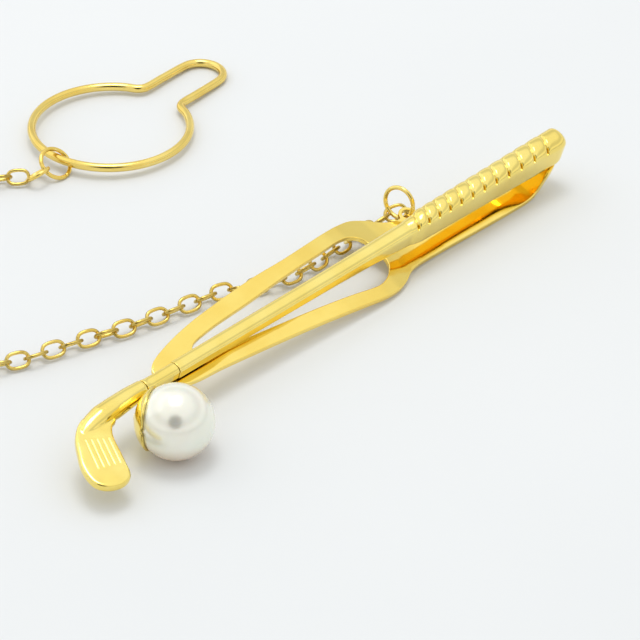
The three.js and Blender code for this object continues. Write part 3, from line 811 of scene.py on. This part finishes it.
STRIP_FAR = [
    (-21.75, 0.8), (-21.2, 1.35), (-20.2, 1.85), (-18.4, 2.4), (-16, 2.95), (-10, 3.8),
    (-5.1, 4.3), (-1.2, 4.5), (1.6, 4.75), (4.4, 5.02), (7.2, 5.2), (9.0, 5.1), (10.4, 4.5),
    (11.5, 3.65), (12.6, 3.05), (14, 2.75), (20, 2.6), (25, 2.4), (27, 2.1), (28, 1.9),
    (29.5, 1.65), (30.4, 1.5), (31.4, 1.3), (32.1, 0.9),
]
OPENING_NEAR = [
    (-16.95, 0.4), (-16.4, 0.8), (-11.5, 1.2), (-7.2, 1.6), (-2.7, 2.0), (1.9, 2.5), (4.0, 2.8),
    (5.4, 2.85), (6.8, 2.35), (7.9, 1.4), (8.3, 0.5),
]
OPENING_FAR = [
    (-16.95, 0.5), (-16.4, 1.0), (-13.5, 1.55), (-8.35, 2.05), (-2.85, 2.7), (2.6, 3.2),
    (5.6, 3.5), (6.9, 3.4), (7.9, 2.8), (8.3, 1.8), (8.4, 0.6),
]
EDGE_ROUND = 0.09
# Unlike the CAD strip, the sheet rises from its near edge inward and is level from the shaft on,
# so everything but the near edge lies a little higher. This fades out toward both ends.
ROLL_FROM, ROLL_EASE, ROLL_FALL = 0.75, 0.5, 0.2
ROLL_STARTS, ROLL_ENDS = (-17.5, -13.5), (22.5, 29.0)


def inside(points, ring):
    """Whether each plan point is inside the closed ring."""
    x, y = points[:, 0][:, None], points[:, 1][:, None]
    a, b = ring, np.roll(ring, -1, axis=0)
    crosses = (a[:, 1] > y) != (b[:, 1] > y)
    rise = np.where(a[:, 1] == b[:, 1], 1e-9, b[:, 1] - a[:, 1])
    at = a[:, 0] + (y - a[:, 1]) / rise * (b[:, 0] - a[:, 0])
    return (crosses & (x < at)).sum(axis=1) % 2 == 1


def two_edges(near, far):
    front = centripetal([(x, -half) for x, half in near], False, 12)
    behind = centripetal([(x, half) for x, half in far], False, 12)
    return front, behind[::-1]


def strip_rings():
    near, far = two_edges(STRIP_NEAR, STRIP_FAR)
    hole_x, hole_y = LUG_HOLE
    turn = np.radians(np.linspace(-6, 186, 40))
    lug = np.stack([hole_x + LUG_RADIUS * np.cos(turn), hole_y + LUG_RADIUS * np.sin(turn)], axis=1)
    behind = far[far[:, 0] > hole_x + LUG_RADIUS]
    before = far[far[:, 0] < hole_x - LUG_RADIUS]
    outer = np.vstack([near, behind, lug, before])
    near, far = two_edges(OPENING_NEAR, OPENING_FAR)
    opening = np.vstack([near, far])
    turn = np.linspace(0, 2 * math.pi, 36, endpoint=False)
    eye = np.stack([hole_x + LUG_HOLE_RADIUS * np.cos(turn),
                    hole_y + LUG_HOLE_RADIUS * np.sin(turn)], axis=1)
    rings = [evenly(outer, 0.2, closed=True), evenly(opening, 0.2, closed=True), eye]
    for ring in rings[:2]:
        for _ in range(3):
            ring[:] = (np.roll(ring, 1, axis=0) + 2 * ring + np.roll(ring, -1, axis=0)) / 4
    return rings


def into_metal(ring, outer):
    """Unit plan vectors at each point of a ring that point into the metal."""
    t = np.roll(ring, -1, axis=0) - np.roll(ring, 1, axis=0)
    n = np.stack([-t[:, 1], t[:, 0]], axis=1) / np.linalg.norm(t, axis=1)[:, None]
    return n if outer else -n


def rolled(across):
    """How far a sheet of unit fall has dropped at a distance nearer than the shaft's axis."""
    beyond = np.clip(across - ROLL_FROM, 0, None)
    return np.where(beyond < ROLL_EASE, beyond ** 2 / (2 * ROLL_EASE), beyond - ROLL_EASE / 2)


def make_strip():
    """Sheet cut to outline and bent: flat faces by triangles, edges rolled over in rings."""
    fine = np.arange(-24, 36, 0.05)
    height = np.interp(fine, *np.array(STRIP_LINE).T)
    kernel = gaussian(np.arange(-24, 25) * 0.05, 0.35)
    height = np.convolve(np.pad(height, 24, mode="edge"), kernel / kernel.sum(), mode="valid")
    slope = np.gradient(height, fine)

    def bent(plan, level):
        x, y = plan[:, 0], plan[:, 1] + STRIP_OFFSET
        rise = np.interp(x, fine, slope)
        long = np.sqrt(1 + rise ** 2)
        level = np.broadcast_to(level, x.shape)
        edge = np.interp(x, *np.array(STRIP_NEAR).T) - STRIP_OFFSET
        tilt = ROLL_FALL * (rolled(edge) - rolled(-y))
        tilt = tilt * smoothstep(*ROLL_STARTS, x) * (1 - smoothstep(*ROLL_ENDS, x))
        return np.stack([x - level * rise / long, y,
                         np.interp(x, fine, height) + level / long + tilt], axis=1)

    half = STRIP_THICK / 2
    corner = [(EDGE_ROUND + 0.04, half)]
    for k in range(6):
        a = math.radians(90 * k / 5)
        corner.append((EDGE_ROUND * (1 - math.sin(a)), half - EDGE_ROUND * (1 - math.cos(a))))
    corner.append((0.0, half - EDGE_ROUND - 0.03))
    rows = corner + [(inset, -level) for inset, level in reversed(corner)]
    points, faces, flat = [], [], []
    for number, ring in enumerate(strip_rings()):
        normal = into_metal(ring, number == 0)
        first = sum(len(p) for p in points)
        for inset, level in rows:
            points.append(bent(ring + normal * inset, level))
        skin = grid_faces(len(rows), len(ring), first=first)
        faces += skin if number else [tuple(reversed(f)) for f in skin]
        flat.append((ring + normal * rows[0][0], first, first + (len(rows) - 1) * len(ring)))
    gap = 0.45
    xs, ys = np.meshgrid(np.arange(-22, 32.5, gap), np.arange(-5, 5.5, gap))
    inner = np.stack([xs.ravel() + 0.11 * np.sin(ys.ravel() * 3), ys.ravel()], axis=1)
    ok = inside(inner, flat[0][0]) & ~inside(inner, flat[1][0]) & ~inside(inner, flat[2][0])
    for ring, _, _ in flat:
        ok &= np.linalg.norm(inner[:, None] - ring[None], axis=2).min(axis=1) > 0.2
    inner = inner[ok]
    plan = np.vstack([ring for ring, _, _ in flat] + [inner])
    edges, start = [], 0
    for ring, _, _ in flat:
        count = len(ring)
        edges += [(start + k, start + (k + 1) % count) for k in range(count)]
        start += count
    found = planar.delaunay_2d_cdt([Vector(p) for p in plan], edges, [], 0, 1e-7)
    if len(found[0]) != len(plan):
        raise RuntimeError("the strip's outline touches itself")
    source = [ids[0] for ids in found[3]]
    triangles = np.array([[source[v] for v in f] for f in found[2]])
    middle = plan[triangles].mean(axis=1)
    keep = inside(middle, flat[0][0]) & ~inside(middle, flat[1][0]) & ~inside(middle, flat[2][0])
    triangles = triangles[keep]
    a, b, c = (plan[triangles[:, k]] for k in range(3))
    area = (b[:, 0] - a[:, 0]) * (c[:, 1] - a[:, 1]) - (b[:, 1] - a[:, 1]) * (c[:, 0] - a[:, 0])
    triangles[area < 0] = triangles[area < 0][:, ::-1]
    top_inner = sum(len(p) for p in points)
    points.append(bent(inner, half))
    points.append(bent(inner, -half))
    top_ids = np.concatenate([np.arange(len(r)) + top for r, top, _ in flat]
                             + [top_inner + np.arange(len(inner))])
    low_ids = np.concatenate([np.arange(len(r)) + low for r, _, low in flat]
                             + [top_inner + len(inner) + np.arange(len(inner))])
    faces += [tuple(int(top_ids[v]) for v in t) for t in triangles]
    faces += [tuple(int(low_ids[v]) for v in reversed(t)) for t in triangles.tolist()]
    return np.vstack(points), faces


strip_points, strip_faces = make_strip()
strip = solid("spring_strip", from_clip(strip_points), strip_faces, STRIP_GOLD, "strip_gold")
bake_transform(strip)
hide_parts("spring_clip", "clip_foot")

# ------------------------------------------------------------------ table and light
TABLE_HALF = 3.0
table_mesh = bpy.data.meshes.new("table_top")
table_mesh.from_pydata([(-TABLE_HALF, -TABLE_HALF, 0), (TABLE_HALF, -TABLE_HALF, 0),
                        (TABLE_HALF, TABLE_HALF, 0), (-TABLE_HALF, TABLE_HALF, 0)],
                       [], [(0, 1, 2, 3)])
table_mesh.materials.append(paper_material())
table_top = bpy.data.objects.new("table_top", table_mesh)
SCENE.collection.objects.link(table_top)


def softbox(name, at, toward, size, power, colour):
    light = bpy.data.lights.new(name, "AREA")
    light.shape = "RECTANGLE"
    light.size, light.size_y = size
    light.energy, light.color = power, colour
    lamp = bpy.data.objects.new(name, light)
    lamp.location = Vector(at)
    lamp.rotation_mode = "QUATERNION"
    lamp.rotation_quaternion = (Vector(toward) - Vector(at)).to_track_quat("-Z", "Y")
    SCENE.collection.objects.link(lamp)


softbox("key", (0.03, 0.06, 0.40), (-0.005, 0.01, 0), (0.16, 0.16), 0.40, (1.0, 0.995, 0.99))
softbox("fill", (-0.10, 0.30, 0.22), (-0.005, 0.0, 0), (0.45, 0.35), 0.16, (1.0, 0.995, 0.99))

world = bpy.data.worlds.new("studio")
world.use_nodes = True
SCENE.world = world
sky = Nodes(world.node_tree)
background = world.node_tree.nodes["Background"]
way = sky.add("ShaderNodeTexCoord").outputs["Generated"]
up = sky.add("ShaderNodeSeparateXYZ", {"Vector": way}).outputs["Z"]
# The room's brightness by height of direction: dim at the horizon, pale above it, with a greyer
# band in between.
ROOM = [(0.0, 0.42), (0.12, 0.95), (0.28, 1.0), (0.38, 0.74), (0.58, 0.74), (0.72, 1.0), (1.0, 1.0)]
ramp = sky.add("ShaderNodeValToRGB", {"Fac": up})
for place, (height, shade) in enumerate(ROOM):
    stop = ramp.color_ramp.elements[place] if place < 2 else ramp.color_ramp.elements.new(height)
    stop.position = height
    stop.color = (shade * 0.985, shade * 0.995, shade, 1)
wall = ramp.outputs["Color"]
# A dark stand in the room, in the direction the picture is taken from.
toward_stand = sky.add("ShaderNodeVectorMath", {0: way, 1: tuple(-LOOKS_ALONG)},
                       operation="DOT_PRODUCT")
stand = sky.spread(toward_stand.outputs["Value"], 0.92, 0.955, 0.0, 1.0)
wall = sky.mix(stand, wall, (0.03, 0.03, 0.03, 1))
world.node_tree.links.new(wall, background.inputs["Color"])
background.inputs["Strength"].default_value = 1.05

SCENE.view_settings.view_transform = "Standard"
